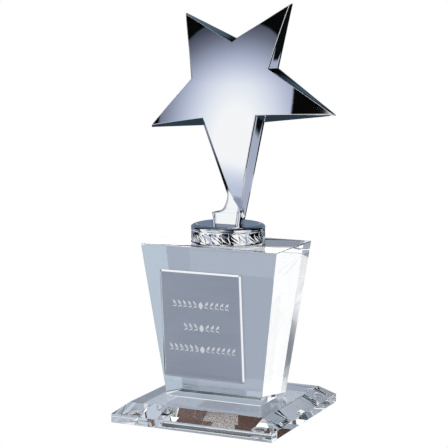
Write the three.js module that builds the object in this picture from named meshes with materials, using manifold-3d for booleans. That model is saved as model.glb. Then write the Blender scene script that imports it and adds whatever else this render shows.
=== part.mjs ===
// Star trophy: a chrome star on a round riser, on a tapered crystal column with an engraving
// plaque, bonded to a bevelled crystal plate that stands on four clear bumpers.
// Millimetres, +Z up. The front, with the plaque, faces -Y. The origin is on the surface that the
// trophy stands on, below the middle of its bounding box.
import * as THREE from 'three';
import { mergeVertices } from 'three/addons/utils/BufferGeometryUtils.js';
import Module from 'manifold-3d';

// ---- Driving dimensions ------------------------------------------------------------------------

const BUMPER_RADIUS = 4.5;
const BUMPER_HEIGHT = 1;
const BUMPER_INSET = 11;
const BUMPER_FOOT_INSET = 0.9;
const BUMPER_SHOULDER_INSET = 0.2;
const BUMPER_SHOULDER_HEIGHT = 0.4;

const PLATE_WIDTH = 99.5;
const PLATE_DEPTH = 97.5;
const PLATE_RIM = 5;
const PLATE_HEIGHT = 11;
const PLATE_FLAT_WIDTH = 84;
const PLATE_FLAT_DEPTH = 80;

const BOND_THICKNESS = 0.2;

const COLUMN_HEIGHT = 89.2;
const COLUMN_FOOT_WIDTH = 60;
const COLUMN_FOOT_DEPTH = 35.9;
const COLUMN_TOP_WIDTH = 84.5;
const COLUMN_TOP_DEPTH = 51.3;

const PLAQUE_WIDTH = 50.8;
const PLAQUE_HEIGHT = 63.5;
const PLAQUE_THICKNESS = 1;
const PLAQUE_BEVEL = 0.6;
const PLAQUE_LEFT_OF_MIDDLE = 4.5;
const PLAQUE_BELOW_MIDDLE = 0.7;
const TAPE_MARGIN = 1;
const TAPE_THICKNESS = 0.5;

const RISER_X = 2;
const RISER_Y = -2;
const RISER_RADIUS = 21.5;
const RISER_HEIGHT = 10.9;
const RISER_WALL = 2.2;
const RISER_BAND_LOW = 1.6;
const RISER_BAND_HIGH = 7.9;
const RISER_GROOVE_DEPTH = 0.7;
const RISER_GROOVE_STEP = 0.3;
const RISER_COLLAR_INSET = 0.1;
const RISER_EDGE = 0.5;
const RISER_FOOT_INSET = 1.4;
const PAD_RADIUS = 20;
const PAD_THICKNESS = 0.5;

const STAR_THICKNESS = 7;
const STAR_DOME = 1.1;
const STAR_TIP_THICKNESS = 1.8;
const STAR_LEAN = 13;
const STAR_FORWARD = 3.5;
const STAR_CENTRE_X = -4;
const STAR_CENTRE_UP = 79.6;
const STAR_FRONT_NOTCH = 24.8;
const STAR_BACK_NOTCH = 28.8;
const STAR_TIP_INSET = 1.6;

// Each arm's direction and reach from the star's centre, and the notch that follows it, all
// counterclockwise as seen from the front. The leg, which isn't an arm, fills the last gap.
const ARMS = [
  { angle: -12.9, reach: 66, notch: 23.5 },
  { angle: 57.5, reach: 58.5, notch: 93.6 },
  { angle: 129.6, reach: 56.7, notch: 171.4 },
  { angle: 205.9, reach: 57.4, notch: 232.5 },
];
const LEG_NOTCH = 316.2;

// The leg's outline from the lower left notch to the lower right one: how far right of the
// riser's middle and how far up the star's slope from its top each corner lies.
const LEG_FRONT = [[0.8, 19.5], [8.4, 7.6], [9.2, 9], [9.6, 25]];
const LEG_BACK = [[-2.4, 18], [6, 3.6], [10.5, 4.4], [13, 26]];

// The foot's horizontal sections: height, middle to the right, half width and half depth. Above
// the pedestal's lip the middle follows the leaning leg.
const PEDESTAL_SECTIONS = [
  { up: 0, half: 8.9 },
  { up: 1.2, half: 8.7 },
  { up: 3.4, half: 8.8 },
  { up: 4.6, half: 9.6 },
  { up: 5.4, half: 9.8 },
  { up: 6.1, half: 9.2 },
];
const COVE_SECTIONS = [
  { up: 6.6, right: 2.4, halfWidth: 7.6, halfDepth: 6 },
  { up: 7.8, right: 3, halfWidth: 6.2, halfDepth: 4.6 },
  { up: 10.8, right: 3.5, halfWidth: 5, halfDepth: 3.6 },
  { up: 15, right: 2.9, halfWidth: 3.6, halfDepth: 3 },
  { up: 19.7, right: 1.6, halfWidth: 2.3, halfDepth: 2.6 },
  { up: 23, right: 1.4, halfWidth: 1.2, halfDepth: 1.5 },
];

const STUD_RADIUS = 2.5;
const STUD_ABOVE = 6;
const STUD_BELOW = 7.4;
const SCREW_CLEARANCE = 0.3;
const WASHER_RADIUS = 6;
const WASHER_THICKNESS = 1.2;
const NUT_ACROSS_FLATS = 8;
const NUT_HEIGHT = 4;

// Turned or cut neighbours are kept this far apart.
const GAP = 0.3;

// ---- Derived levels ----------------------------------------------------------------------------

const PLATE_Z = BUMPER_HEIGHT;
const BOND_Z = PLATE_Z + PLATE_HEIGHT;
const COLUMN_Z = BOND_Z + BOND_THICKNESS;
const PAD_Z = COLUMN_Z + COLUMN_HEIGHT;
const RISER_Z = PAD_Z + PAD_THICKNESS;
const STAR_Z = RISER_Z + RISER_HEIGHT;

const degrees = THREE.MathUtils.degToRad;

// ---- Materials ---------------------------------------------------------------------------------

const crystal = new THREE.MeshStandardMaterial({ color: 0xdfe6ee, roughness: 0.02, metalness: 0 });
const chrome = new THREE.MeshStandardMaterial({ color: 0xd8dbe2, roughness: 0.04, metalness: 1 });
const satinSilver = new THREE.MeshStandardMaterial({ color: 0x9aa0ac, roughness: 0.42, metalness: 1 });
const zincSteel = new THREE.MeshStandardMaterial({ color: 0xb4b6b8, roughness: 0.35, metalness: 1 });
const tapeTan = new THREE.MeshStandardMaterial({ color: 0x8a5a40, roughness: 0.8, metalness: 0 });
const clearAdhesive = new THREE.MeshStandardMaterial({ color: 0xe8edf0, roughness: 0.1, metalness: 0 });
const clearRubber = new THREE.MeshStandardMaterial({ color: 0xe4e8ea, roughness: 0.25, metalness: 0 });

// ---- Geometry helpers --------------------------------------------------------------------------

// A closed solid through a stack of rings with equal point counts. The rings run counterclockwise
// as seen from the last one, and each end is closed by a fan around its own hub point.
function loft(rings, firstHub, lastHub) {
  const count = rings[0].length;
  const points = rings.flat();
  const first = points.push(firstHub ?? middle(rings[0])) - 1;
  const last = points.push(lastHub ?? middle(rings[rings.length - 1])) - 1;
  const top = (rings.length - 1) * count;
  const faces = [];
  for (let i = 0; i < count; i += 1) {
    const next = (i + 1) % count;
    faces.push(first, next, i, last, top + i, top + next);
    for (let ring = 0; ring < rings.length - 1; ring += 1) {
      const low = ring * count;
      const high = low + count;
      faces.push(low + i, low + next, high + next, low + i, high + next, high + i);
    }
  }
  return meshGeometry(points.flat(), faces);
}

function middle(ring) {
  return [0, 1, 2].map((axis) => ring.reduce((sum, point) => sum + point[axis], 0) / ring.length);
}

function meshGeometry(coordinates, faces) {
  const geometry = new THREE.BufferGeometry();
  geometry.setAttribute('position', new THREE.Float32BufferAttribute(coordinates, 3));
  geometry.setIndex(faces);
  geometry.computeVertexNormals();
  return geometry;
}

function rectangle(width, depth, z) {
  const x = width / 2;
  const y = depth / 2;
  return [[-x, -y, z], [x, -y, z], [x, y, z], [-x, y, z]];
}

function ellipse(x, y, halfWidth, halfDepth, z, segments = 36) {
  return Array.from({ length: segments }, (_, i) => {
    const turn = (2 * Math.PI * i) / segments;
    return [x + halfWidth * Math.cos(turn), y + halfDepth * Math.sin(turn), z];
  });
}

// A turned solid with its axis along +Z. The profile is a list of [radius, height].
function turned(profile, segments = 48) {
  const outline = profile.map(([radius, height]) => new THREE.Vector2(radius, height));
  return new THREE.LatheGeometry(outline, segments).rotateX(Math.PI / 2);
}

function ring(inner, outer, height, segments = 36) {
  return turned([[inner, 0], [outer, 0], [outer, height], [inner, height], [inner, 0]], segments);
}

function cylinder(radius, height, segments = 24) {
  return turned([[0, 0], [radius, 0], [radius, height], [0, height]], segments);
}

const wasm = await Module();
wasm.setup();

function solid(geometry) {
  const bare = geometry.clone();
  bare.deleteAttribute('normal');
  bare.deleteAttribute('uv');
  const merged = mergeVertices(bare, 1e-4);
  return new wasm.Manifold(new wasm.Mesh({
    numProp: 3,
    vertProperties: new Float32Array(merged.attributes.position.array),
    triVerts: new Uint32Array(merged.index.array),
  }));
}

function fromSolid(manifold) {
  const mesh = manifold.getMesh();
  return meshGeometry(Array.from(mesh.vertProperties), Array.from(mesh.triVerts));
}

// ---- The assembly ------------------------------------------------------------------------------

const trophy = new THREE.Group();

function piece(name, geometry, material, x = 0, y = 0, z = 0, parent = trophy) {
  const mesh = new THREE.Mesh(geometry, material);
  mesh.name = name;
  mesh.position.set(x, y, z);
  parent.add(mesh);
  return mesh;
}

function addBumpers() {
  const profile = [
    [0, 0],
    [BUMPER_RADIUS - BUMPER_FOOT_INSET, 0],
    [BUMPER_RADIUS - BUMPER_SHOULDER_INSET, BUMPER_SHOULDER_HEIGHT],
    [BUMPER_RADIUS, BUMPER_HEIGHT],
    [0, BUMPER_HEIGHT],
  ];
  const x = PLATE_WIDTH / 2 - BUMPER_INSET;
  const y = PLATE_DEPTH / 2 - BUMPER_INSET;
  for (const [end, sideY] of [['front', -1], ['rear', 1]]) {
    for (const [side, sideX] of [['left', -1], ['right', 1]]) {
      piece(`bumper_${end}_${side}`, turned(profile, 24), clearRubber, sideX * x, sideY * y);
    }
  }
}

function addCrystal() {
  const plate = loft([
    rectangle(PLATE_WIDTH, PLATE_DEPTH, 0),
    rectangle(PLATE_WIDTH, PLATE_DEPTH, PLATE_RIM),
    rectangle(PLATE_FLAT_WIDTH, PLATE_FLAT_DEPTH, PLATE_HEIGHT),
  ]);
  piece('base_plate', plate, crystal, 0, 0, PLATE_Z);
  const bond = loft([
    rectangle(COLUMN_FOOT_WIDTH, COLUMN_FOOT_DEPTH, 0),
    rectangle(COLUMN_FOOT_WIDTH, COLUMN_FOOT_DEPTH, BOND_THICKNESS),
  ]);
  piece('column_bond', bond, clearAdhesive, 0, 0, BOND_Z);
  const column = loft([
    rectangle(COLUMN_FOOT_WIDTH, COLUMN_FOOT_DEPTH, 0),
    rectangle(COLUMN_TOP_WIDTH, COLUMN_TOP_DEPTH, COLUMN_HEIGHT),
  ]);
  piece('column', column, crystal, 0, 0, COLUMN_Z);
}

// The plaque lies flat on the column's front face, which overhangs towards the top.
function addPlaque() {
  const overhang = (COLUMN_TOP_DEPTH - COLUMN_FOOT_DEPTH) / 2;
  const face = new THREE.Group();
  face.position.set(0, -(COLUMN_TOP_DEPTH + COLUMN_FOOT_DEPTH) / 4, COLUMN_Z + COLUMN_HEIGHT / 2);
  face.rotation.x = Math.atan2(overhang, COLUMN_HEIGHT) + Math.PI / 2;
  trophy.add(face);
  const width = PLAQUE_WIDTH - 2 * TAPE_MARGIN;
  const height = PLAQUE_HEIGHT - 2 * TAPE_MARGIN;
  const tape = loft([rectangle(width, height, 0), rectangle(width, height, TAPE_THICKNESS)]);
  piece('plaque_tape', tape, tapeTan, -PLAQUE_LEFT_OF_MIDDLE, -PLAQUE_BELOW_MIDDLE, GAP, face);
  const plaque = loft([
    rectangle(PLAQUE_WIDTH, PLAQUE_HEIGHT, 0),
    rectangle(PLAQUE_WIDTH, PLAQUE_HEIGHT, PLAQUE_THICKNESS - PLAQUE_BEVEL),
    rectangle(PLAQUE_WIDTH - 2 * PLAQUE_BEVEL, PLAQUE_HEIGHT - 2 * PLAQUE_BEVEL, PLAQUE_THICKNESS),
  ]);
  const out = TAPE_THICKNESS + 2 * GAP;
  piece('plaque', plaque, satinSilver, -PLAQUE_LEFT_OF_MIDDLE, -PLAQUE_BELOW_MIDDLE, out, face);
}

// A cup standing on its rim: the nut and washer sit in the hollow below its top.
function addRiser() {
  piece('riser_pad', cylinder(PAD_RADIUS, PAD_THICKNESS, 48), clearAdhesive, RISER_X, RISER_Y, PAD_Z);
  const inner = RISER_RADIUS - RISER_WALL;
  const ceiling = RISER_HEIGHT - RISER_WALL;
  const bore = STUD_RADIUS + SCREW_CLEARANCE;
  const grooveFloor = RISER_RADIUS - RISER_GROOVE_DEPTH;
  const profile = [
    [inner, 0],
    [RISER_RADIUS - RISER_FOOT_INSET, 0],
    [RISER_RADIUS - RISER_EDGE, RISER_EDGE],
    [RISER_RADIUS, RISER_BAND_LOW],
    [RISER_RADIUS, RISER_BAND_HIGH],
    [grooveFloor, RISER_BAND_HIGH + RISER_GROOVE_STEP],
    [grooveFloor, RISER_BAND_HIGH + 2 * RISER_GROOVE_STEP],
    [RISER_RADIUS - RISER_COLLAR_INSET, RISER_BAND_HIGH + 3 * RISER_GROOVE_STEP],
    [RISER_RADIUS - RISER_EDGE, RISER_HEIGHT - RISER_EDGE],
    [RISER_RADIUS - 2 * RISER_EDGE, RISER_HEIGHT],
    [bore, RISER_HEIGHT],
    [bore, ceiling],
    [inner, ceiling],
    [inner, 0],
  ];
  piece('riser', turned(profile, 64), chrome, RISER_X, RISER_Y, RISER_Z);
}

// A corner of the star in its own plane: right of the riser's middle, up the slope, and out
// towards the front from the middle of its thickness.
function starCorner(angle, radius, out) {
  const turn = degrees(angle);
  return [STAR_CENTRE_X + radius * Math.cos(turn), STAR_CENTRE_UP + radius * Math.sin(turn), out];
}

function starOutline(notchRadius, tipInset, notchOut, tipOut, leg, legOut) {
  const corners = ARMS.flatMap(({ angle, reach, notch }) => [
    starCorner(angle, reach - tipInset, tipOut),
    starCorner(notch, notchRadius, notchOut),
  ]);
  corners.push(...leg.map(([x, up]) => [x, up, legOut]));
  corners.push(starCorner(LEG_NOTCH, notchRadius, notchOut));
  return corners;
}

// The star's plate has walls that draft outwards to its flat back, and a domed face that runs down
// to thin arm tips.
function starPlate() {
  const back = -STAR_THICKNESS / 2;
  const front = STAR_THICKNESS / 2;
  const tipOut = back + STAR_TIP_THICKNESS;
  const rear = starOutline(STAR_BACK_NOTCH, 0, back, back, LEG_BACK, back);
  const face = starOutline(STAR_FRONT_NOTCH, STAR_TIP_INSET, front, tipOut, LEG_FRONT, front);
  const crown = face.map(([x, up, out]) => [
    STAR_CENTRE_X + (x - STAR_CENTRE_X) / 2,
    STAR_CENTRE_UP + (up - STAR_CENTRE_UP) / 2,
    Math.max(out, front - STAR_DOME) + STAR_DOME * 0.75,
  ]);
  const plate = loft(
    [rear, face, crown],
    [STAR_CENTRE_X, STAR_CENTRE_UP, back],
    [STAR_CENTRE_X, STAR_CENTRE_UP, front + STAR_DOME],
  );
  return plate.rotateX(Math.PI / 2 - degrees(STAR_LEAN)).translate(0, -STAR_FORWARD, 0);
}

function starFoot() {
  const lean = Math.tan(degrees(STAR_LEAN));
  const pedestal = PEDESTAL_SECTIONS.map(({ up, half }) => ellipse(0, 0, half, half, up));
  const cove = COVE_SECTIONS.map(({ up, right, halfWidth, halfDepth }) => (
    ellipse(right, up * lean - STAR_FORWARD, halfWidth, halfDepth, up)
  ));
  return loft([...pedestal, ...cove]);
}

function addStar() {
  const mouth = 1;
  const depth = STUD_ABOVE + GAP;
  const hole = cylinder(STUD_RADIUS + SCREW_CLEARANCE, depth + mouth).translate(0, 0, -mouth);
  const casting = solid(starPlate()).add(solid(starFoot()));
  piece('star', fromSolid(casting.subtract(solid(hole))), chrome, RISER_X, RISER_Y, STAR_Z);
}

function addFastening() {
  const ceiling = STAR_Z - RISER_WALL;
  const stud = cylinder(STUD_RADIUS, STUD_ABOVE + RISER_WALL + STUD_BELOW);
  piece('star_stud', stud, zincSteel, RISER_X, RISER_Y, ceiling - STUD_BELOW);
  const bore = STUD_RADIUS + SCREW_CLEARANCE;
  const washerZ = ceiling - WASHER_THICKNESS;
  piece('star_washer', ring(bore, WASHER_RADIUS, WASHER_THICKNESS), zincSteel, RISER_X, RISER_Y, washerZ);
  const corner = NUT_ACROSS_FLATS / Math.sqrt(3);
  const blank = solid(turned([[0, 0], [corner, 0], [corner, NUT_HEIGHT], [0, NUT_HEIGHT]], 6));
  const drill = solid(cylinder(bore, NUT_HEIGHT + 2).translate(0, 0, -1));
  const nut = fromSolid(blank.subtract(drill));
  piece('star_nut', nut, zincSteel, RISER_X, RISER_Y, washerZ - NUT_HEIGHT);
}

addBumpers();
addCrystal();
addPlaque();
addRiser();
addStar();
addFastening();

// The star reaches further right than left, so the assembly is set over to centre its box.
trophy.updateMatrixWorld(true);
const box = new THREE.Box3().setFromObject(trophy);
trophy.position.x = -(box.min.x + box.max.x) / 2;

export default trophy;
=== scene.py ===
# Star trophy: a chrome star on a round embossed riser, on a tapered crystal column with a plaque,
# bonded to a bevelled crystal plate. The shapes are built here in millimetres, in the CAD frame.
import math

import bmesh
import bpy
import numpy as np
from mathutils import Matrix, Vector


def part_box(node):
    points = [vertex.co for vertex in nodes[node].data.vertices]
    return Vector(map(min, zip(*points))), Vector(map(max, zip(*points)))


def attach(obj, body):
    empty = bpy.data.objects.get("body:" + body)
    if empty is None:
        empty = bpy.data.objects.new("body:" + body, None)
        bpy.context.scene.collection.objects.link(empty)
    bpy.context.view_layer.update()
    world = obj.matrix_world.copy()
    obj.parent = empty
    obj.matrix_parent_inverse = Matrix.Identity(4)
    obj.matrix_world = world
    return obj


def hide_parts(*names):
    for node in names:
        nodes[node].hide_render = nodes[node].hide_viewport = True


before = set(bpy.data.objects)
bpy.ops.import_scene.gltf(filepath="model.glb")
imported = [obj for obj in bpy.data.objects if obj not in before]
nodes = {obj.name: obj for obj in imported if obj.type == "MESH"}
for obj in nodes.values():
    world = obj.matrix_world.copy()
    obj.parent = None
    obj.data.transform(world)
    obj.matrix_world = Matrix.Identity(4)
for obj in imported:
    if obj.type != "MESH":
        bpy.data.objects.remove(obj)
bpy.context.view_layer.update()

MM = 0.001
scene = bpy.context.scene


def box_mm(node):
    low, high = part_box(node)
    return Vector(low) / MM, Vector(high) / MM


# ---- Node helpers --------------------------------------------------------------------------------

def new_material(name):
    material = bpy.data.materials.new(name)
    material.use_nodes = True
    tree = material.node_tree
    return material, tree, tree.nodes["Principled BSDF"]


def node(tree, kind, inputs=None, **settings):
    made = tree.nodes.new(kind)
    for key, value in settings.items():
        setattr(made, key, value)
    for key, value in (inputs or {}).items():
        socket = made.inputs[key]
        if isinstance(value, bpy.types.NodeSocket):
            tree.links.new(value, socket)
        else:
            socket.default_value = value
    return made


def maths(tree, operation, *values, clamp=False):
    return node(tree, "ShaderNodeMath", dict(enumerate(values)), operation=operation,
                use_clamp=clamp).outputs[0]


def noise(tree, scale, detail=3.0, roughness=0.5, stretch=(1, 1, 1)):
    """Noise in object space, per metre."""
    coords = node(tree, "ShaderNodeTexCoord").outputs["Object"]
    mapped = node(tree, "ShaderNodeMapping", {"Vector": coords, "Scale": stretch}).outputs[0]
    return node(tree, "ShaderNodeTexNoise", {"Vector": mapped, "Scale": scale, "Detail": detail,
                                             "Roughness": roughness}).outputs[0]


def remap(tree, value, low, high, from_low=0.3, from_high=0.7):
    return node(tree, "ShaderNodeMapRange",
                {"Value": value, "From Min": from_low, "From Max": from_high,
                 "To Min": low, "To Max": high}).outputs[0]


def bump(tree, height, strength, distance):
    return node(tree, "ShaderNodeBump",
                {"Height": height, "Strength": strength, "Distance": distance}).outputs[0]


def mix_colour(tree, factor, a, b, blend="MIX"):
    made = node(tree, "ShaderNodeMix", data_type="RGBA", blend_type=blend)
    for key, value in ((0, factor), (6, a), (7, b)):
        if isinstance(value, bpy.types.NodeSocket):
            tree.links.new(value, made.inputs[key])
        else:
            made.inputs[key].default_value = value
    return made.outputs[2]


# ---- Materials -----------------------------------------------------------------------------------

def chrome_material():
    material, tree, shader = new_material("chrome")
    shader.inputs["Metallic"].default_value = 1
    shader.inputs["Base Color"].default_value = (0.9, 0.91, 0.93, 1)
    haze = noise(tree, 90, 5)
    tree.links.new(remap(tree, haze, 0.0, 0.03), shader.inputs["Roughness"])
    tree.links.new(bump(tree, noise(tree, 45, 2), 0.05, 0.0002), shader.inputs["Normal"])
    return material


def crystal_material(name="crystal"):
    material, tree, shader = new_material(name)
    shader.inputs["Base Color"].default_value = (0.972, 0.984, 0.988, 1)
    shader.inputs["Transmission Weight"].default_value = 1
    shader.inputs["IOR"].default_value = 1.517
    shader.inputs["Roughness"].default_value = 0
    tree.links.new(bump(tree, noise(tree, 30, 1), 0.03, 0.0001), shader.inputs["Normal"])
    return material


def joint_material():
    material = bpy.data.materials.new("optical_joint")
    material.use_nodes = True
    tree = material.node_tree
    tree.nodes.clear()
    clear = node(tree, "ShaderNodeBsdfTransparent", {"Color": (1, 1, 1, 1)})
    node(tree, "ShaderNodeOutputMaterial", {"Surface": clear.outputs[0]})
    return material


def satin_material():
    material, tree, shader = new_material("satin_silver")
    shader.inputs["Metallic"].default_value = 1
    grain = noise(tree, 900, 4, stretch=(0.06, 1, 1))
    cloud = noise(tree, 25, 2)
    tint = mix_colour(tree, remap(tree, cloud, 0, 1), (0.325, 0.365, 0.445, 1),
                      (0.36, 0.4, 0.48, 1))
    tree.links.new(tint, shader.inputs["Base Color"])
    tree.links.new(remap(tree, grain, 0.36, 0.46), shader.inputs["Roughness"])
    tree.links.new(bump(tree, grain, 0.25, 0.00003), shader.inputs["Normal"])
    return material


def bright_cut_material():
    material, tree, shader = new_material("bright_cut")
    shader.inputs["Metallic"].default_value = 1
    shader.inputs["Base Color"].default_value = (0.62, 0.64, 0.69, 1)
    tree.links.new(remap(tree, noise(tree, 700, 2), 0.08, 0.2), shader.inputs["Roughness"])
    return material


def zinc_material():
    material, tree, shader = new_material("zinc_steel")
    shader.inputs["Metallic"].default_value = 1
    spangle = noise(tree, 600, 4)
    tint = mix_colour(tree, remap(tree, spangle, 0, 1), (0.42, 0.43, 0.43, 1),
                      (0.58, 0.58, 0.55, 1))
    tree.links.new(tint, shader.inputs["Base Color"])
    tree.links.new(remap(tree, spangle, 0.25, 0.45), shader.inputs["Roughness"])
    tree.links.new(bump(tree, noise(tree, 1500, 2), 0.2, 0.00003), shader.inputs["Normal"])
    return material


def tape_material():
    material, tree, shader = new_material("tape")
    fibre = noise(tree, 500, 5)
    patch = noise(tree, 60, 3)
    tan = mix_colour(tree, remap(tree, patch, 0, 1), (0.24, 0.145, 0.095, 1),
                     (0.29, 0.185, 0.13, 1))
    tint = mix_colour(tree, remap(tree, fibre, 0, 0.4), tan, (0.2, 0.12, 0.08, 1))
    tree.links.new(tint, shader.inputs["Base Color"])
    shader.inputs["Roughness"].default_value = 0.75
    tree.links.new(bump(tree, fibre, 0.3, 0.0001), shader.inputs["Normal"])
    return material


def rubber_material():
    material, tree, shader = new_material("clear_rubber")
    shader.inputs["Base Color"].default_value = (0.93, 0.95, 0.95, 1)
    shader.inputs["Transmission Weight"].default_value = 1
    shader.inputs["IOR"].default_value = 1.49
    tree.links.new(remap(tree, noise(tree, 400, 2), 0.04, 0.12), shader.inputs["Roughness"])
    return material


chrome = chrome_material()
crystal = crystal_material()
adhesive = crystal_material("clear_adhesive")
joint = joint_material()
satin = satin_material()
bright_cut = bright_cut_material()
zinc = zinc_material()
tape = tape_material()
rubber = rubber_material()


# ---- Mesh helpers --------------------------------------------------------------------------------

# Faces within about 8 degrees of a direction look that way, and levels this close are the same.
# A big face has at least this area, in square millimetres, so that chamfers are left out.
SAME_WAY = 0.99
SAME_LEVEL = 0.01
BIG_FACE = 50


def add_piece(name, points, faces, materials, stands_for, indices=None, sharp=30):
    """A piece from points in millimetres, which stands for one CAD node."""
    mesh = bpy.data.meshes.new(name)
    mesh.from_pydata([tuple(Vector(p) * MM) for p in points], [], [tuple(f) for f in faces])
    for material in materials:
        mesh.materials.append(material)
    if indices is not None:
        mesh.polygons.foreach_set("material_index", indices)
    return finish_piece(name, mesh, stands_for, sharp)


def finish_piece(name, mesh, stands_for, sharp=30):
    tidy = bmesh.new()
    tidy.from_mesh(mesh)
    bmesh.ops.recalc_face_normals(tidy, faces=tidy.faces)
    tidy.to_mesh(mesh)
    tidy.free()
    mesh.shade_smooth()
    mesh.set_sharp_from_angle(angle=math.radians(sharp))
    piece = bpy.data.objects.new(name, mesh)
    scene.collection.objects.link(piece)
    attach(piece, "root")
    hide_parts(stands_for)
    return piece


def tube(rings, first=None, last=None):
    """Points and faces of a closed solid through rings of equal length."""
    count = len(rings[0])
    points = [tuple(p) for ring in rings for p in ring]
    faces = []
    for r in range(len(rings) - 1):
        a, b = r * count, (r + 1) * count
        faces += [(a + i, a + (i + 1) % count, b + (i + 1) % count, b + i) for i in range(count)]
    for start, hub, flip in ((0, first, True), ((len(rings) - 1) * count, last, False)):
        if hub is None:
            loop = list(range(start, start + count))
            faces.append(loop[::-1] if flip else loop)
            continue
        points.append(tuple(hub))
        tip = len(points) - 1
        for i in range(count):
            pair = (start + i, start + (i + 1) % count)
            faces.append((pair[1], pair[0], tip) if flip else (pair[0], pair[1], tip))
    return points, faces


def circle(x, y, z, radius, segments, depth=None):
    turns = [2 * math.pi * i / segments for i in range(segments)]
    return [(x + radius * math.cos(t), y + (depth or radius) * math.sin(t), z) for t in turns]


def lathe(profile, x, y, segments=96):
    """A turned solid; the profile runs from the bottom hub out and up to the top hub."""
    rings = [circle(x, y, z, radius, segments) for radius, z in profile[1:-1]]
    return tube(rings, (x, y, profile[0][1]), (x, y, profile[-1][1]))


def rectangle(x, y, z, width, depth):
    a, b = width / 2, depth / 2
    return [(x - a, y - b, z), (x + a, y - b, z), (x + a, y + b, z), (x - a, y + b, z)]


def set_patch(mesh, normal, loop, index):
    """Cuts a flat region with its own material out of the big face that looks along normal."""
    normal = Vector(normal)
    loop_middle = sum((Vector(p) for p in loop), Vector()) / len(loop)
    big = [f for f in mesh.faces if f.normal.dot(normal) > SAME_WAY and f.calc_area() > BIG_FACE]
    face = min(big, key=lambda f: (f.calc_center_median() - loop_middle).length)
    outer = list(face.verts)
    inner = [mesh.verts.new(p) for p in loop]
    centre = sum((v.co for v in inner), Vector()) / len(inner)
    right = (outer[1].co - outer[0].co).normalized()
    up = face.normal.cross(right)

    def turn(vert):
        way = vert.co - centre
        return math.atan2(way.dot(up), way.dot(right)) % (2 * math.pi)

    outer.sort(key=turn)
    inner.sort(key=turn)
    material = face.material_index
    bmesh.ops.delete(mesh, geom=[face], context="FACES_ONLY")
    # The ring between the two loops is filled with triangles, in the order of their turns.
    i = j = 0
    while i < len(outer) or j < len(inner):
        a, b = outer[i % len(outer)], inner[j % len(inner)]
        next_a, next_b = outer[(i + 1) % len(outer)], inner[(j + 1) % len(inner)]
        turn_a = turn(next_a) + (2 * math.pi if i + 1 >= len(outer) else 0)
        turn_b = turn(next_b) + (2 * math.pi if j + 1 >= len(inner) else 0)
        if i >= len(outer):
            turn_a = math.inf
        if j >= len(inner):
            turn_b = math.inf
        if turn_a <= turn_b:
            made = mesh.faces.new((a, next_a, b))
            i += 1
        else:
            made = mesh.faces.new((a, next_b, b))
            j += 1
        made.material_index = material
    mesh.faces.new(inner).material_index = index


def chamfer(mesh, width, keep=lambda edge: False):
    edges = [e for e in mesh.edges if not keep(e)]
    bmesh.ops.bevel(mesh, geom=edges, offset=width, offset_type="WIDTH", segments=1,
                    profile=0.5, affect="EDGES")


def block(rings):
    """A bmesh through stacked rectangles, in millimetres."""
    mesh = bmesh.new()
    points, faces = tube(rings)
    verts = [mesh.verts.new(p) for p in points]
    for face in faces:
        mesh.faces.new([verts[i] for i in face])
    bmesh.ops.recalc_face_normals(mesh, faces=mesh.faces)
    mesh.normal_update()
    return mesh


def put_in_order(elements, place):
    """The bevel and the cuts leave vertices and faces in any order; this fixes it by place."""
    in_order = sorted(elements, key=lambda element: tuple(round(c, 5) for c in place(element)))
    rank = {element: i for i, element in enumerate(in_order)}
    elements.sort(key=rank.get)
    elements.index_update()


def block_piece(name, block_mesh, materials, stands_for):
    put_in_order(block_mesh.verts, lambda vert: vert.co)
    put_in_order(block_mesh.faces, lambda face: face.calc_center_median())
    bmesh.ops.scale(block_mesh, vec=(MM, MM, MM), verts=block_mesh.verts)
    mesh = bpy.data.meshes.new(name)
    block_mesh.to_mesh(mesh)
    block_mesh.free()
    for material in materials:
        mesh.materials.append(material)
    return finish_piece(name, mesh, stands_for, 10)


# ---- Crystal -------------------------------------------------------------------------------------

plate_low, plate_high = box_mm("base_plate")
bond_low, bond_high = box_mm("column_bond")
column_low, column_high = box_mm("column")
pad_low, pad_high = box_mm("riser_pad")
riser_low, riser_high = box_mm("riser")
MIDDLE_X = (plate_low.x + plate_high.x) / 2

PLATE_RIM = 5
PLATE_FLAT = (84, 80)
PLATE_CHAMFER = 0.3
COLUMN_CHAMFER = 0.4
FOOT = (bond_high.x - bond_low.x, bond_high.y - bond_low.y)
TOP = (column_high.x - column_low.x, column_high.y - column_low.y)
PAD_AT = ((pad_low.x + pad_high.x) / 2, (pad_low.y + pad_high.y) / 2)
PAD_RADIUS = (pad_high.x - pad_low.x) / 2
PAD_DRAFT = 0.1
PAD_SEGMENTS = 64
BUMPERS = [(end, side) for end in ("front", "rear") for side in ("left", "right")]
BUMPER_TOP = 4.4
BUMPER_HEIGHT = 1.0
BUMPER_SEGMENTS = 40
BUMPER_PROFILE = ((0, 0.0), (2.2, 0.0), (3.2, 0.04), (3.8, 0.14), (4.2, 0.36), (4.38, 0.66),
                  (BUMPER_TOP, BUMPER_HEIGHT), (0, BUMPER_HEIGHT))
# Indices of the materials on the crystal pieces.
CRYSTAL_PAINT, JOINT_PAINT, TAPE_PAINT = 0, 1, 2


def bumper_spot(end, side):
    low_corner, high_corner = box_mm(f"bumper_{end}_{side}")
    return (low_corner + high_corner) / 2


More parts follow.
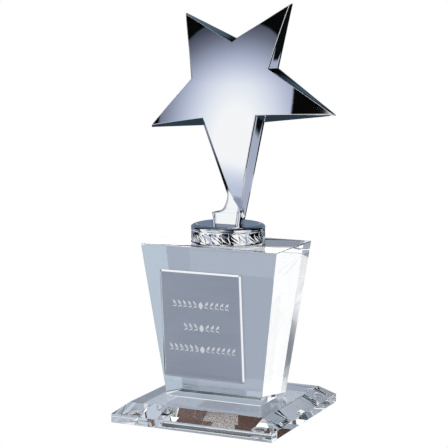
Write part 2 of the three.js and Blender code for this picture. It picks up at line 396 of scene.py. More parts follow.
def make_plate():
    size = (plate_high.x - plate_low.x, plate_high.y - plate_low.y)
    mesh = block([
        rectangle(MIDDLE_X, 0, plate_low.z, *size),
        rectangle(MIDDLE_X, 0, plate_low.z + PLATE_RIM, *size),
        rectangle(MIDDLE_X, 0, plate_high.z, *PLATE_FLAT),
    ])
    chamfer(mesh, PLATE_CHAMFER)
    set_patch(mesh, (0, 0, 1), rectangle(MIDDLE_X, 0, plate_high.z, *FOOT), JOINT_PAINT)
    # The underside is cut into quarters, so that each bumper's patch has a face of its own.
    for axis in ((1, 0, 0), (0, 1, 0)):
        under = [f for f in mesh.faces if f.normal.z < -SAME_WAY]
        around = dict.fromkeys([e for f in under for e in f.edges]
                               + [v for f in under for v in f.verts])
        bmesh.ops.bisect_plane(mesh, geom=under + list(around), plane_co=(MIDDLE_X, 0, 0),
                               plane_no=axis)
    mesh.normal_update()
    for end, side in BUMPERS:
        spot = bumper_spot(end, side)
        under_bumper = circle(spot.x, spot.y, plate_low.z, BUMPER_TOP, BUMPER_SEGMENTS)
        set_patch(mesh, (0, 0, -1), under_bumper, JOINT_PAINT)
    return block_piece("base_plate_crystal", mesh, [crystal, joint], "base_plate")


def make_bumpers():
    for end, side in BUMPERS:
        spot = bumper_spot(end, side)
        points, faces = lathe(BUMPER_PROFILE, spot.x, spot.y, BUMPER_SEGMENTS)
        top = BUMPER_HEIGHT - SAME_LEVEL
        indices = [int(all(points[i][2] > top for i in f)) for f in faces]
        add_piece(f"bumper_dome_{end}_{side}", points, faces, [rubber, joint],
                  f"bumper_{end}_{side}", indices, sharp=50)


def make_bond():
    mesh = block([
        rectangle(MIDDLE_X, 0, bond_low.z, *FOOT),
        rectangle(MIDDLE_X, 0, bond_high.z, *FOOT),
    ])
    for face in mesh.faces:
        flat = abs(face.normal.z) > SAME_WAY
        face.material_index = JOINT_PAINT if flat else CRYSTAL_PAINT
    return block_piece("column_bond_line", mesh, [adhesive, joint], "column_bond")


# The column's front face: its middle, and the directions along it and out of it.
COLUMN_HEIGHT = column_high.z - column_low.z
LEAN = math.atan2((TOP[1] - FOOT[1]) / 2, COLUMN_HEIGHT)
FACE_MIDDLE = Vector((MIDDLE_X, -(TOP[1] + FOOT[1]) / 4, (column_low.z + column_high.z) / 2))
FACE_UP = Vector((0, -math.sin(LEAN), math.cos(LEAN)))
FACE_OUT = Vector((0, -math.cos(LEAN), -math.sin(LEAN)))


def on_face(x, up, out):
    return FACE_MIDDLE + Vector((x, 0, 0)) + FACE_UP * up + FACE_OUT * out


PLAQUE = (50.8, 63.5)
PLAQUE_AT = (-4.5, -0.7)
PLAQUE_OUT = 1.1
PLAQUE_THICKNESS = 1.0
PLAQUE_BEVEL = 1.15
PLAQUE_CORNER = 1.4
PLAQUE_PAINTS = (satin, chrome, bright_cut, tape)
TAPE_MARGIN = 1.0
TAPE_GAP = 0.02
TAPE_ROLL = 0.05
# The tape has wetted out onto the crystal from here to its right edge.
WETTED_FROM = -9.0


def face_rectangle(width, height, out, corner):
    """A rectangle with rounded corners on the column's face, around the plaque's middle."""
    points = []
    for quarter, (x, y) in enumerate(((1, 1), (-1, 1), (-1, -1), (1, -1))):
        for step in range(5):
            turn = math.pi / 2 * (quarter + step / 4)
            across = x * (width / 2 - corner) + corner * math.cos(turn)
            up = y * (height / 2 - corner) + corner * math.sin(turn)
            points.append(on_face(PLAQUE_AT[0] + across, PLAQUE_AT[1] + up, out))
    return points


def tape_loop(out, inset):
    """The wetted tape's outline, at a distance from the column's face."""
    tall = PLAQUE[1] / 2 - TAPE_MARGIN - inset
    right = PLAQUE_AT[0] + PLAQUE[0] / 2 - TAPE_MARGIN - inset
    left = WETTED_FROM + inset
    return [on_face(x, PLAQUE_AT[1] + up, out)
            for x, up in ((left, -tall), (right, -tall), (right, tall), (left, tall))]


def make_column():
    mesh = block([
        rectangle(MIDDLE_X, 0, column_low.z, *FOOT),
        rectangle(MIDDLE_X, 0, column_high.z, *TOP),
    ])
    floor_z = column_low.z + SAME_LEVEL
    chamfer(mesh, COLUMN_CHAMFER, lambda e: all(v.co.z < floor_z for v in e.verts))
    for face in mesh.faces:
        face.material_index = JOINT_PAINT if face.normal.z < -SAME_WAY else CRYSTAL_PAINT
    under_pad = circle(*PAD_AT, column_high.z, PAD_RADIUS, PAD_SEGMENTS)
    set_patch(mesh, (0, 0, 1), under_pad, JOINT_PAINT)
    set_patch(mesh, FACE_OUT, tape_loop(0, 0), TAPE_PAINT)
    return block_piece("column_crystal", mesh, [crystal, joint, tape], "column")


def make_pad():
    profile = [(0, pad_low.z), (PAD_RADIUS, pad_low.z), (PAD_RADIUS - PAD_DRAFT, pad_high.z),
               (0, pad_high.z)]
    points, faces = lathe(profile, *PAD_AT, PAD_SEGMENTS)
    floor_z = pad_low.z + SAME_LEVEL
    indices = [int(all(points[i][2] < floor_z for i in f)) for f in faces]
    return add_piece("riser_pad_clear", points, faces, [adhesive, joint],
                     "riser_pad", indices)


# ---- Plaque --------------------------------------------------------------------------------------

def face_block(width, height, levels):
    """Rings of a plate on the column's face; each level is (out, inset)."""
    return [face_rectangle(width - 2 * inset, height - 2 * inset, out, PLAQUE_CORNER - inset)
            for out, inset in levels]


def make_tape():
    levels = ((TAPE_GAP, TAPE_ROLL), (PLAQUE_OUT / 2, 0), (PLAQUE_OUT - TAPE_GAP, TAPE_ROLL))
    points, faces = tube([tape_loop(out, inset) for out, inset in levels])
    return add_piece("plaque_foam_tape", points, faces, [tape], "plaque_tape")


def leaf(middle_x, middle_up, length, width, tilt):
    """A vesica outline: two arcs that meet in points."""
    steps = 7
    outline = [(length * (i / steps - 0.5), width / 2 * math.sin(math.pi * i / steps))
               for i in range(steps + 1)]
    outline += [(x, -y) for x, y in outline[-2:0:-1]]
    c, s = math.cos(math.radians(tilt)), math.sin(math.radians(tilt))
    return [(middle_x + x * c - y * s, middle_up + x * s + y * c) for x, y in outline]


# Each ornament row's height on the plaque, and its number of leaf pairs on either side.
ORNAMENT_ROWS = ((12.2, 5), (-1.2, 3), (-13.8, 6))
LEAF_PITCH = 3.2
LEAF_START = 0.4
CUT_DEPTH = 0.16
CUT_SPREAD = 1.5


def ornament_rows():
    """Three rows of engraved border ornament: leaves that lean out from a lozenge."""
    shapes = []
    for up, half_count in ORNAMENT_ROWS:
        shapes.append(leaf(0, up, 4.4, 2.8, 90))
        for side in (-1, 1):
            for i in range(1, half_count + 1):
                x = side * (LEAF_PITCH * i + LEAF_START)
                shapes.append(leaf(x, up + 0.8, 4.1, 1.4, 58 * side))
                shapes.append(leaf(x, up - 1.3, 3.0, 1.15, -32 * side))
    return shapes


def make_plaque():
    thick = PLAQUE_OUT + PLAQUE_THICKNESS
    # The plate's distance from the column's face and its inset, from its back to its face.
    levels = [(PLAQUE_OUT, 0.08), (PLAQUE_OUT + 0.08, 0), (thick - 0.86, 0), (thick - 0.82, 0.06),
              (thick - 0.05, PLAQUE_BEVEL - 0.2), (thick - 0.015, PLAQUE_BEVEL - 0.09),
              (thick, PLAQUE_BEVEL)]
    points, faces = tube(face_block(*PLAQUE, levels))
    mesh = bpy.data.meshes.new("plaque_plate")
    mesh.from_pydata([tuple(Vector(p) * MM) for p in points], [], faces)
    for material in PLAQUE_PAINTS:
        mesh.materials.append(material)
    # The face is brushed; the lower bevel gets the darker satin paint as painted shade. Other
    # bevels are polished, the back is tape.
    for polygon in mesh.polygons:
        flat = polygon.area > 0.5 * PLAQUE[0] * PLAQUE[1] * MM * MM
        front = flat and polygon.normal.dot(FACE_OUT) > 0
        # Faces that look down take the satin paint: painted shade on the lower bevel.
        brushed_face_and_shaded_bevel = front or polygon.normal.dot(FACE_UP) < -0.2
        paint = tape if flat and not front else satin if brushed_face_and_shaded_bevel else chrome
        polygon.material_index = PLAQUE_PAINTS.index(paint)
    piece = finish_piece("plaque_plate", mesh, "plaque", 25)
    # Each cut is a shallow pyramid, which stands half its depth out of the face.
    cut_points, cut_faces = [], []
    for shape in ornament_rows():
        start = len(cut_points)
        count = len(shape)
        x0 = sum(x for x, _ in shape) / count
        up0 = sum(up for _, up in shape) / count
        above = [(x0 + (x - x0) * CUT_SPREAD, up0 + (up - up0) * CUT_SPREAD) for x, up in shape]
        cut_points += [on_face(PLAQUE_AT[0] + x, PLAQUE_AT[1] + up, thick + CUT_DEPTH / 2)
                       for x, up in above]
        cut_points.append(on_face(PLAQUE_AT[0] + x0, PLAQUE_AT[1] + up0, thick - CUT_DEPTH))
        tip = start + count
        cut_faces.append(list(range(start, start + count)))
        cut_faces += [(start + (i + 1) % count, start + i, tip) for i in range(count)]
    cut_mesh = bpy.data.meshes.new("cutter")
    cut_mesh.from_pydata([tuple(Vector(p) * MM) for p in cut_points], [], cut_faces)
    for material in PLAQUE_PAINTS:
        cut_mesh.materials.append(material)
    cut_index = PLAQUE_PAINTS.index(bright_cut)
    cut_mesh.polygons.foreach_set("material_index", [cut_index] * len(cut_mesh.polygons))
    join(piece, cut_mesh, "DIFFERENCE")
    piece.data.shade_flat()
    return piece


def join(piece, other_mesh, operation):
    """Applies an exact boolean with another mesh to a piece."""
    tidy = bmesh.new()
    tidy.from_mesh(other_mesh)
    bmesh.ops.recalc_face_normals(tidy, faces=tidy.faces)
    tidy.to_mesh(other_mesh)
    tidy.free()
    other = bpy.data.objects.new("boolean_tool", other_mesh)
    scene.collection.objects.link(other)
    modifier = piece.modifiers.new("boolean", "BOOLEAN")
    modifier.object = other
    modifier.operation = operation
    modifier.solver = "EXACT"
    modifier.material_mode = "INDEX"
    modifier.use_self = True
    bpy.context.view_layer.update()
    graph = bpy.context.evaluated_depsgraph_get()
    result = bpy.data.meshes.new_from_object(piece.evaluated_get(graph))
    piece.modifiers.remove(modifier)
    old = piece.data
    piece.data = result
    result.name = piece.name
    bpy.data.objects.remove(other)
    bpy.data.meshes.remove(other_mesh)
    bpy.data.meshes.remove(old)
    return piece


# ---- Riser ---------------------------------------------------------------------------------------

RISER_AT = ((riser_low.x + riser_high.x) / 2, (riser_low.y + riser_high.y) / 2)
RISER_RADIUS = (riser_high.x - riser_low.x) / 2
RISER_HEIGHT = riser_high.z - riser_low.z
BAND_LOW, BAND_HIGH = 0.9, 7.9
BAND_ROWS = 44
# The relief fades into the plain borders over a twelfth of the band's height.
BORDER_SHARE = 1 / 12
BAND_DEPTH = 0.45
BAND_TAPER = 0.1
BORDER_RELIEF = 0.22
LEAF_RELIEF = 0.27
RISER_SEGMENTS = 960
BORE = 2.8
WALL = 2.2
INNER_BREAK, BORE_BREAK, ROOF_FILLET = 0.15, 0.2, 0.3

# The riser's outline, as pairs of a depth in from its radius and a height: over its foot, over
# the band's top for the groove, and below its own top for the crowned rim.
FOOT_ROLL = ((1.5, 0), (0.9, 0.05), (0.45, 0.18), (0.16, 0.4), (0.04, 0.6), (0, 0.75))
GROOVE = ((0.2, 0.05), (0.25, 0.15), (0.65, 0.25), (0.75, 0.38), (0.65, 0.5), (0.25, 0.6),
          (0.18, 0.75), (0.15, 0.9))
CROWN = ((0.16, 1.65), (0.28, 1.35), (0.6, 0.98), (1.2, 0.62), (2.2, 0.27), (3.2, 0.02),
         (3.26, 0), (3.5, 0))

# The embossed band's repeat: each leaf's place along it in repeats, its slant, and its length,
# width and height in shares of the band's half height.
PITCHES = 13
LEAVES = (
    (0.00, -0.8, 2.7, 1.3, 0.0), (0.5, -0.9, 2.2, 0.9, 0.0), (0.8, 0.6, 1.0, 0.6, 0.5),
)
LEAF_BEND, LEAF_BEND_RATE = 0.12, 2.2
LEAF_FULLNESS = 0.7
VEIN_WIDTH, VEIN_DEPTH = 0.1, 0.35


def leaf_height(along, up):
    """Relief of the embossed band, 0 to 1. along is in repeats, up is from -1 to 1."""
    stretch = 2 * math.pi * RISER_RADIUS / PITCHES / ((BAND_HIGH - BAND_LOW) / 2)
    best = np.zeros_like(along)
    for shift, tilt, length, width, rise in LEAVES:
        local = ((along - shift + 0.5) % 1 - 0.5) * stretch
        x = local * math.cos(tilt) + (up - rise) * math.sin(tilt)
        y = -local * math.sin(tilt) + (up - rise) * math.cos(tilt)
        y = y - LEAF_BEND * np.sin(LEAF_BEND_RATE * x)
        span = np.clip(1 - (2 * x / length) ** 2, 0, 1)
        half = width / 2 * span + 1e-6
        inside = np.clip(1 - (y / half) ** 2, 0, 1) * (span > 0)
        vein = np.exp(-((y / (VEIN_WIDTH * width)) ** 2))
        best = np.maximum(best, inside ** LEAF_FULLNESS * (1 - VEIN_DEPTH * vein))
    return best


def make_riser():
    turns = np.arange(RISER_SEGMENTS) * 2 * math.pi / RISER_SEGMENTS
    rings = []

    def ring(radius, z):
        radius = np.broadcast_to(radius, turns.shape)
        rings.append(np.column_stack([
            RISER_AT[0] + radius * np.cos(turns),
            RISER_AT[1] + radius * np.sin(turns),
            np.full(RISER_SEGMENTS, riser_low.z + z),
        ]))

    inner = RISER_RADIUS - WALL
    ring(inner, INNER_BREAK)
    ring(inner + INNER_BREAK, 0)
    for depth, z in FOOT_ROLL:
        ring(RISER_RADIUS - depth, z)
    for row in range(BAND_ROWS + 1):
        share = row / BAND_ROWS
        height = leaf_height(turns * PITCHES / (2 * math.pi),
                             np.full(RISER_SEGMENTS, 2 * share - 1))
        edge = min(1, min(share, 1 - share) / BORDER_SHARE)
        relief = LEAF_RELIEF * height * edge + BORDER_RELIEF * (1 - edge)
        ring(RISER_RADIUS - BAND_DEPTH - BAND_TAPER * share + relief,
             BAND_LOW + (BAND_HIGH - BAND_LOW) * share)
    for depth, rise in GROOVE:
        ring(RISER_RADIUS - depth, BAND_HIGH + rise)
    for depth, drop in CROWN:
        ring(RISER_RADIUS - depth, RISER_HEIGHT - drop)
    # The bore for the stud, the roof of the hollow, and the hollow's wall down to the foot.
    for radius, drop in ((BORE + BORE_BREAK, 0), (BORE, BORE_BREAK), (BORE, WALL),
                         (inner - ROOF_FILLET, WALL), (inner, WALL + ROOF_FILLET)):
        ring(radius, RISER_HEIGHT - drop)
    count = RISER_SEGMENTS
    faces = []
    for r in range(len(rings)):
        a, b = r * count, ((r + 1) % len(rings)) * count
        faces += [(a + i, a + (i + 1) % count, b + (i + 1) % count, b + i) for i in range(count)]
    return add_piece("riser_embossed", np.vstack(rings).tolist(), faces, [chrome],
                     "riser", sharp=38)


# ---- Star ----------------------------------------------------------------------------------------

THICKNESS = 7
DOME = 1.1
STAR_LEAN = math.radians(13)
STAR_FORWARD = 3.5
STAR_CENTRE = (-4, 79.6)
STAR_FRONT_NOTCH = 24.8
STAR_BACK_NOTCH = 28.8
TIP_INSET = 1.6
# The face's radius on the arms and down the leg; it runs straight from DOME_END out.
DOME_RADIUS = 300
LEG_RADIUS = 700
DOME_END = 50
FACE_RINGS = 40
FIRST_RING = 0.995
STAR_SHARP = 35
TIP_CUT = 0.9
# Each arm: its direction and reach from the star's centre, and the direction of the next notch.
ARMS = ((-12.9, 66, 23.5), (57.5, 58.5, 93.6), (129.6, 56.7, 171.4), (205.9, 57.4, 232.5))
LEG_NOTCH = 316.2
LEG_FRONT = ((0.8, 19.5), (8.4, 7.6), (9.2, 9), (9.6, 25))
LEG_BACK = ((-2.4, 18), (6, 3.6), (10.5, 4.4), (13, 26))
# The rounding along the star's edges: pairs of an inset and a drop.
EDGE = 0.3
EDGE_ROLL = [(EDGE, 0), (EDGE * 0.5, EDGE * 0.13), (EDGE * 0.13, EDGE * 0.5), (0, EDGE)]
EDGE_LAND = 0.1
STAR_AT = Vector((RISER_AT[0], RISER_AT[1], riser_high.z))


def in_star(x, up, out):
    """From the star's own plane to the frame."""
    s, c = math.sin(STAR_LEAN), math.cos(STAR_LEAN)
    return STAR_AT + Vector((x, -STAR_FORWARD + up * s - out * c, up * c + out * s))


def polar(angle, radius):
    turn = math.radians(angle)
    return np.array((STAR_CENTRE[0] + radius * math.cos(turn),
                     STAR_CENTRE[1] + radius * math.sin(turn)))


def outline(notch, inset, leg):
    corners = []
    for angle, reach, after in ARMS:
        corners += [polar(angle, reach - inset), polar(after, notch)]
    corners += [np.array(point, float) for point in leg]
    corners.append(polar(LEG_NOTCH, notch))
    return corners


def inset_outline(corners, distance):
    """The same outline moved inwards by a distance."""
    moved = []
    for i, corner in enumerate(corners):
        before, after = corners[i - 1], corners[(i + 1) % len(corners)]
        a = (corner - before) / np.linalg.norm(corner - before)
        b = (after - corner) / np.linalg.norm(after - corner)
        normal_a, normal_b = np.array((-a[1], a[0])), np.array((-b[1], b[0]))
        mitre = (normal_a + normal_b) / (1 + normal_a @ normal_b)
        length = np.linalg.norm(mitre)
        moved.append(corner + mitre * distance * min(1, 3 / length))
    return moved


def dense(corners, steps=18, tip=TIP_CUT):
    """Points along the outline; the arms' tips are rounded off by a small arc."""
    points = []
    count = len(corners)
    tips = {0, 2, 4, 6}
    for i, corner in enumerate(corners):
        after = corners[(i + 1) % count]
        way = after - corner
        length = np.linalg.norm(way)
        start = tip / length if i in tips else 0
        end = 1 - tip / length if (i + 1) % count in tips else 1
        for k in range(steps):
            points.append(corner + way * (start + (end - start) * k / steps))
        if (i + 1) % count in tips:
            leave = after + (corners[(i + 2) % count] - after) / np.linalg.norm(
                corners[(i + 2) % count] - after) * tip
            enter = corner + way * end
            for k in range(6):
                t = k / 6
                points.append(enter * (1 - t) ** 2 + after * 2 * t * (1 - t) + leave * t ** 2)
    return points


def dome(point):
    """Height of the star's face above the middle of its thickness."""
    x, up = abs(point[0] - STAR_CENTRE[0]), point[1] - STAR_CENTRE[1]
    drop = x * x / (2 * DOME_RADIUS) if x < DOME_END else (
        DOME_END * DOME_END / 2 + DOME_END * (x - DOME_END)) / DOME_RADIUS
    if up >= 0:
        drop += up * up / (2 * DOME_RADIUS)
    else:
        drop += up * up / (2 * LEG_RADIUS)
    return THICKNESS / 2 + DOME - drop


def make_star():
    back = -THICKNESS / 2
    rear = outline(STAR_BACK_NOTCH, 0, LEG_BACK)
    face = outline(STAR_FRONT_NOTCH, TIP_INSET, LEG_FRONT)
    rings = []

    def ring(points, outs):
        rings.append([in_star(p[0], p[1], out) for p, out in zip(points, outs)])

    for inset, rise in [(EDGE + EDGE_LAND, 0), *EDGE_ROLL, (0, EDGE + EDGE_LAND)]:
        points = dense(inset_outline(rear, inset))
        ring(points, [back + rise] * len(points))
    # The ruled sides, from the back's outline to the face's.
    lower, upper = dense(rear), dense(face)
    for share in (0.15, 0.3, 0.45, 0.6, 0.75, 0.9):
        points = [a + (b - a) * share for a, b in zip(lower, upper)]
        ring(points, [back + EDGE + (dome(b) - EDGE - back - EDGE) * share for b in upper])
    for inset, drop in [(0, EDGE + EDGE_LAND), *EDGE_ROLL[::-1]]:
        points = dense(inset_outline(face, inset))
        ring(points, [dome(p) - drop for p in points])
    points = dense(inset_outline(face, EDGE))
    centre = np.array(STAR_CENTRE)
    # The domed face, in rings that shrink to the centre. The first stays close to the edge.
    for k in range(1, FACE_RINGS):
        share = FIRST_RING if k == 1 else 1 - k / FACE_RINGS
        scaled = [centre + (p - centre) * share for p in points]
        ring(scaled, [dome(p) for p in scaled])
    points, faces = tube(rings, in_star(*STAR_CENTRE, back),
                         in_star(*STAR_CENTRE, THICKNESS / 2 + DOME))
    return add_piece("star_casting", points, faces, [chrome], "star", sharp=STAR_SHARP)


# The foot's sections: height, middle to the right, front, back and half width.
FOOT_SECTIONS = (
    (0, 0, -4.2, 6.0, 8.55), (0.4, 0, -4.11, 6.1, 8.6), (3, 0, -3.55, 6.1, 8.7),
    (4.6, -0.1, -3.2, 6.0, 8.95),
    (5.2, -0.33, -3.07, 5.9, 9.12), (5.7, -0.53, -2.96, 5.8, 9.25), (6.1, -0.35, -2.87, 5.6, 8.95),
    (6.5, 0.55, -2.76, 5.3, 7.95), (7.2, 1.95, -2.6, 5.0, 6.55), (8.4, 2.83, -2.3, 4.8, 5.67),
    (9.6, 3.23, -2.0, 4.8, 5.27), (11.4, 3.5, -1.6, 4.7, 4.85), (13.4, 3.3, -1.15, 4.7, 4.1),
    (16, 2.7, -0.55, 4.8, 3.3), (19.7, 1.6, 0.3, 4.7, 2.3), (23, 1.4, 1.1, 4.8, 1.2),
)


def superellipse(x, y, z, half_width, half_depth, segments=120, power=7):
    points = []
    for i in range(segments):
        c, s = math.cos(2 * math.pi * i / segments), math.sin(2 * math.pi * i / segments)
        points.append((x + half_width * math.copysign(abs(c) ** (2 / power), c),
                       y + half_depth * math.copysign(abs(s) ** (2 / power), s), z))
    return points


def smooth_rows(rows, steps):
    """Catmull-Rom through rows of numbers."""
    rows = np.array(rows, float)
    made = []
    for i in range(len(rows) - 1):
        p0, p1, p2, p3 = (rows[max(0, min(len(rows) - 1, i + k))] for k in (-1, 0, 1, 2))
        for k in range(steps):
            t = k / steps
            made.append(0.5 * (2 * p1 + (p2 - p0) * t + (2 * p0 - 5 * p1 + 4 * p2 - p3) * t * t
                               + (3 * p1 - p0 - 3 * p2 + p3) * t ** 3))
    made.append(rows[-1])
    return made


def foot_mesh():
    rings = []
    for up, right, front, rear, half_width in smooth_rows(FOOT_SECTIONS, 4):
        rings.append(superellipse(STAR_AT.x + right, STAR_AT.y + (front + rear) / 2, STAR_AT.z + up,
                                  half_width, (rear - front) / 2))
    points, faces = tube(rings)
    mesh = bpy.data.meshes.new("foot")
    mesh.from_pydata([tuple(Vector(p) * MM) for p in points], [], faces)
    mesh.materials.append(chrome)
    return mesh


# ---- Build ---------------------------------------------------------------------------------------

make_plate()
make_bumpers()
make_bond()
make_column()
make_pad()
make_tape()
make_plaque()
make_riser()
star = make_star()
join(star, foot_mesh(), "UNION")
star.data.shade_smooth()
star.data.set_sharp_from_angle(angle=math.radians(STAR_SHARP))

for name in ("star_stud", "star_washer", "star_nut"):
    nodes[name].data.materials.clear()
    nodes[name].data.materials.append(zinc)


# ---- Floor, camera -------------------------------------------------------------------------------

FLOOR_HALF = 30
FLOOR_DROP = 0.0002
CAMERA_AZIMUTH, CAMERA_ELEVATION = math.radians(25.16), math.radians(8.04)
CAMERA_DISTANCE = 0.8865
CAMERA_AIM = Vector((-5.64, -0.61, 111.9)) * MM
CAMERA_LENS = 123.97


def make_floor():
    mesh = bpy.data.meshes.new("floor")
    half = FLOOR_HALF
    mesh.from_pydata([(-half, -half, 0), (half, -half, 0), (half, half, 0), (-half, half, 0)], [],
                     [(0, 1, 2, 3)])
    material = bpy.data.materials.new("floor")
    material.use_nodes = True
    tree = material.node_tree
    tree.nodes.clear()
    glow = node(tree, "ShaderNodeEmission", {"Color": (1, 1, 1, 1), "Strength": 1.0})
    node(tree, "ShaderNodeOutputMaterial", {"Surface": glow.outputs[0]})
    mesh.materials.append(material)
    floor = bpy.data.objects.new("floor", mesh)
    floor.location.z = -FLOOR_DROP
    scene.collection.objects.link(floor)
    for flag in ("glossy", "transmission", "diffuse", "shadow"):
        setattr(floor, f"visible_{flag}", False)
    return floor


def make_camera():
    away = Vector((math.sin(CAMERA_AZIMUTH) * math.cos(CAMERA_ELEVATION),
                   -math.cos(CAMERA_AZIMUTH) * math.cos(CAMERA_ELEVATION),
                   math.sin(CAMERA_ELEVATION)))
    camera = bpy.data.objects.new("camera", bpy.data.cameras.new("camera"))
    camera.data.sensor_width = 36
    camera.data.lens = CAMERA_LENS
    camera.data.clip_start, camera.data.clip_end = 0.05, 100
    camera.location = CAMERA_AIM + away * CAMERA_DISTANCE
    camera.rotation_euler = (-away).to_track_quat("-Z", "Y").to_euler()
    scene.collection.objects.link(camera)
    scene.camera = camera


make_floor()
make_camera()


# ---- World: direction-based studio ---------------------------------------------------------------

def panel_group():
    """A rounded rectangle in azimuth and elevation, in degrees."""
    tree = bpy.data.node_groups.new("panel", "ShaderNodeTree")
    for name in ("Azimuth", "Elevation", "At", "Up", "Half width", "Half height", "Corner", "Soft"):
        tree.interface.new_socket(name, in_out="INPUT", socket_type="NodeSocketFloat")
    tree.interface.new_socket("Mask", in_out="OUTPUT", socket_type="NodeSocketFloat")
    given = tree.nodes.new("NodeGroupInput").outputs
    off = maths(tree, "SUBTRACT", given["Azimuth"], given["At"])
    off = maths(tree, "WRAP", off, -180.0, 180.0)
    across = maths(tree, "ABSOLUTE", off)
    upward = maths(tree, "ABSOLUTE", maths(tree, "SUBTRACT", given["Elevation"], given["Up"]))
    qx = maths(tree, "ADD", maths(tree, "SUBTRACT", across, given["Half width"]), given["Corner"])
    qy = maths(tree, "ADD", maths(tree, "SUBTRACT", upward, given["Half height"]), given["Corner"])
    outside_x, outside_y = maths(tree, "MAXIMUM", qx, 0.0), maths(tree, "MAXIMUM", qy, 0.0)
    squares = maths(tree, "ADD", maths(tree, "MULTIPLY", outside_x, outside_x),
                    maths(tree, "MULTIPLY", outside_y, outside_y))
    distance = maths(tree, "ADD", maths(tree, "SQRT", squares),
                     maths(tree, "MINIMUM", maths(tree, "MAXIMUM", qx, qy), 0.0))
    distance = maths(tree, "SUBTRACT", distance, given["Corner"])
    mask = node(tree, "ShaderNodeMapRange", {
        "Value": distance, "From Min": maths(tree, "MULTIPLY", given["Soft"], -1.0),
        "From Max": given["Soft"], "To Min": 1.0, "To Max": 0.0},
        interpolation_type="SMOOTHSTEP").outputs[0]
    out = tree.nodes.new("NodeGroupOutput")
    tree.links.new(mask, out.inputs["Mask"])
    return tree


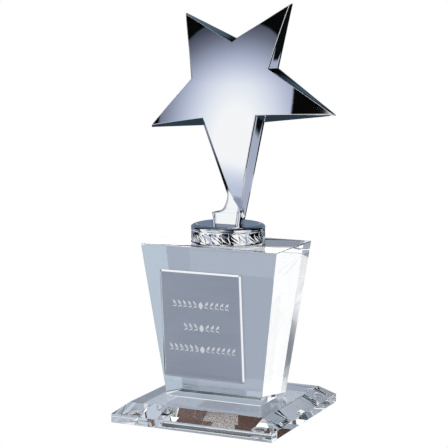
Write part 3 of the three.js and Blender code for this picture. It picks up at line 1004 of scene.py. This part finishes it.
def make_world():
    world = bpy.data.worlds.new("studio")
    scene.world = world
    world.use_nodes = True
    tree = world.node_tree
    tree.nodes.clear()
    way = node(tree, "ShaderNodeTexCoord").outputs["Generated"]
    axes = node(tree, "ShaderNodeSeparateXYZ", {0: way}).outputs
    radian = 180 / math.pi
    azimuth = maths(tree, "MULTIPLY", maths(
        tree, "ARCTAN2", axes[0], maths(tree, "MULTIPLY", axes[1], -1.0)), radian)
    elevation = maths(tree, "MULTIPLY", maths(tree, "ARCSINE", axes[2]), radian)
    group = panel_group()

    def grey(value):
        return (*value, 1) if isinstance(value, tuple) else (value, value, value, 1)

    def hang(colour, cards):
        """Cards over a colour, in order. Each one is its azimuth, its elevation, half its width
        and half its height, its paint, its corner radius and the softness of its edge."""
        for at, up, half_width, half_height, paint, corner, soft in cards:
            made = tree.nodes.new("ShaderNodeGroup")
            made.node_tree = group
            tree.links.new(azimuth, made.inputs["Azimuth"])
            tree.links.new(elevation, made.inputs["Elevation"])
            for key, value in (("At", at), ("Up", up), ("Half width", half_width),
                               ("Half height", half_height), ("Corner", corner), ("Soft", soft)):
                made.inputs[key].default_value = value
            colour = mix_colour(tree, made.outputs["Mask"], colour,
                                paint if isinstance(paint, bpy.types.NodeSocket) else grey(paint))
        return colour

    def ramp(value, low, high, stops):
        """Colours along a value, from stops at values between low and high."""
        scaled = remap(tree, value, 0, 1, low, high)
        made = node(tree, "ShaderNodeValToRGB", {"Fac": scaled})
        elements = made.color_ramp.elements
        while len(elements) > 1:
            elements.remove(elements[-1])
        for i, (at, paint) in enumerate(stops):
            element = elements[0] if i == 0 else elements.new((at - low) / (high - low))
            element.position = (at - low) / (high - low)
            element.color = grey(paint)
        return made.outputs["Color"]

    # The main softbox fades out from its brightest point, and faster below it.
    def spread(value, at, reach):
        share = maths(tree, "DIVIDE", maths(tree, "SUBTRACT", value, at), reach)
        return maths(tree, "POWER", share, 2.0)

    fade = maths(tree, "SQRT", maths(tree, "ADD", spread(azimuth, -23.0, 24.0),
                                     spread(elevation, 13.0, 20.0)))
    softbox = ramp(fade, 0, 1.2, (
        (0, 1.0), (0.25, 1.0), (0.4, (0.84, 0.88, 0.93)), (0.55, (0.65, 0.69, 0.81)),
        (0.7, (0.45, 0.50, 0.64)), (0.85, (0.283, 0.319, 0.423)), (1.0, (0.149, 0.162, 0.223)),
        (1.15, (0.06, 0.07, 0.10))))
    foot_fade = ramp(elevation, 0, 20, (
        (0, (0.50, 0.55, 0.69)), (8.4, (0.55, 0.60, 0.74)), (9.6, (0.66, 0.72, 0.84)),
        (11.2, (0.96, 0.98, 1)), (12.2, 1.0)))
    softbox = mix_colour(tree, 1.0, softbox, foot_fade, "MULTIPLY")
    right_box = ramp(azimuth, 30, 120, (
        (30, 1.0), (78, 1.0), (85, (0.45, 0.49, 0.60)), (95, (0.40, 0.44, 0.55))))
    side_glow = ramp(azimuth, -3, 41, (
        (-3, 1.0), (7, 1.0), (14, (0.5, 0.55, 0.64)), (28, (0.2, 0.23, 0.29)),
        (40, (0.05, 0.06, 0.08))))
    slate = ramp(elevation, -10, 46, (
        (-10, (0.20, 0.25, 0.33)), (8, (0.17, 0.22, 0.30)), (20, (0.13, 0.18, 0.24)),
        (34, (0.09, 0.14, 0.19)), (46, (0.05, 0.085, 0.115))))
    back_table = ramp(elevation, -62, -28, (
        (-62, (0.5, 0.55, 0.62)), (-42, (0.34, 0.38, 0.45)), (-35, (0.12, 0.15, 0.19)),
        (-29, (0.02, 0.03, 0.04))))

    # What mirrors see.
    mirror = ramp(elevation, -90, 90, (
        (-90, (0.02, 0.035, 0.05)), (-50, (0.03, 0.05, 0.07)), (-25, (0.006, 0.009, 0.012)),
        (0, 0.003), (90, 0.002)))
    mirror = hang(mirror, (
        (150, -46, 50, 17, back_table, 6, 2),
        (-155, 18, 50, 28, slate, 4, 2),
        # Thin bright cards low behind, for the sheen on the column's top.
        (-155, 9.2, 4, 0.36, 2.2, 0.1, 0.06),
        (-152.2, 8.9, 1.45, 0.6, 2.2, 0.1, 0.06),
        (-157.6, 8.6, 1.4, 0.3, (0.5, 0.6, 0.75), 0.1, 0.06),
        # Front left and front right, with a dark gap between them.
        (-36.5, -33, 38.5, 16, 1.0, 4, 0.8),
        (75, -33, 26, 16, 1.0, 4, 0.8),
        (-37, -7, 35, 10, 1.0, 3, 0.8),
        (-63, 24, 11, 22, 1.0, 4, 0.8),
        # The main softbox, which fills the star's face, and the dark line near its foot.
        (-27.2, 13.2, 18.7, 22.7, softbox, 16, 0.4),
        (-30, 4.4, 30, 2.9, (0.27, 0.32, 0.42), 1, 0.25),
        # The right side, and what is overhead.
        (75, -13, 26, 7, 1.0, 2, 0.8),
        (72.5, 17.5, 29.5, 27, right_box, 1, 0.8),
        (18.7, 27, 21.3, 21, side_glow, 1, 0.25),
        (-50, 64, 50, 17, (0.3, 0.33, 0.38), 6, 1),
        (-20, 52, 33, 5.5, 1.0, 3, 0.8),
    ))

    # What is seen through the crystal.
    through = ramp(elevation, -90, 90, (
        (-90, 1.0), (-46, 1.0), (-33, (0.48, 0.53, 0.6)), (-20, (0.42, 0.48, 0.56)),
        (-8, (0.345, 0.395, 0.485)), (5, (0.345, 0.395, 0.485)), (17, (0.34, 0.38, 0.43)),
        (35, (0.32, 0.36, 0.45)), (65, 0.9), (90, 1.0)))
    warm = ramp(azimuth, -135, 10, (
        (-135, (0.11, 0.07, 0.06)), (-110, (0.10, 0.045, 0.03)), (-12, (0.10, 0.035, 0.018)),
        (0, (0.10, 0.045, 0.03)), (10, (0.13, 0.12, 0.13))))
    through = hang(through, (
        (-124, 4.5, 10, 4.5, (0.10, 0.125, 0.155), 2, 2),
        (146, 0, 28, 16, (0.47, 0.55, 0.64), 4, 2),
        (-38, 3, 43, 13, 1.35, 4, 2),
        (-50, -28, 44, 8, (0.07, 0.095, 0.11), 3, 1),
        (-147, 13.6, 19, 4.2, 1.3, 1, 1),
        (-65, 47, 68, 16, warm, 4, 2),
        (180, 28, 15, 7, (0.16, 0.10, 0.08), 3, 1),
        (-165, 24, 5, 6.5, 1.35, 2, 1),
        (-92, 15, 16, 5, 1.3, 3, 2),
    ))

    # The camera sees white, and rough surfaces get a plain soft light.
    path = node(tree, "ShaderNodeLightPath").outputs
    soft_light = grey((0.85, 0.88, 0.95))
    seen = mix_colour(tree, path["Is Glossy Ray"], soft_light, mirror)
    seen = mix_colour(tree, path["Is Transmission Ray"], seen, through)
    seen = mix_colour(tree, path["Is Camera Ray"], seen, grey(1.0))
    glow = node(tree, "ShaderNodeBackground", {"Color": seen, "Strength": 1.0})
    node(tree, "ShaderNodeOutputWorld", {"Surface": glow.outputs[0]})


make_world()

scene.view_settings.view_transform = "Standard"
# Light goes round inside the crystal many times before it leaves.
BOUNCES = 32
scene.cycles.max_bounces = BOUNCES
scene.cycles.transmission_bounces = BOUNCES
scene.cycles.glossy_bounces = BOUNCES
scene.cycles.transparent_max_bounces = BOUNCES
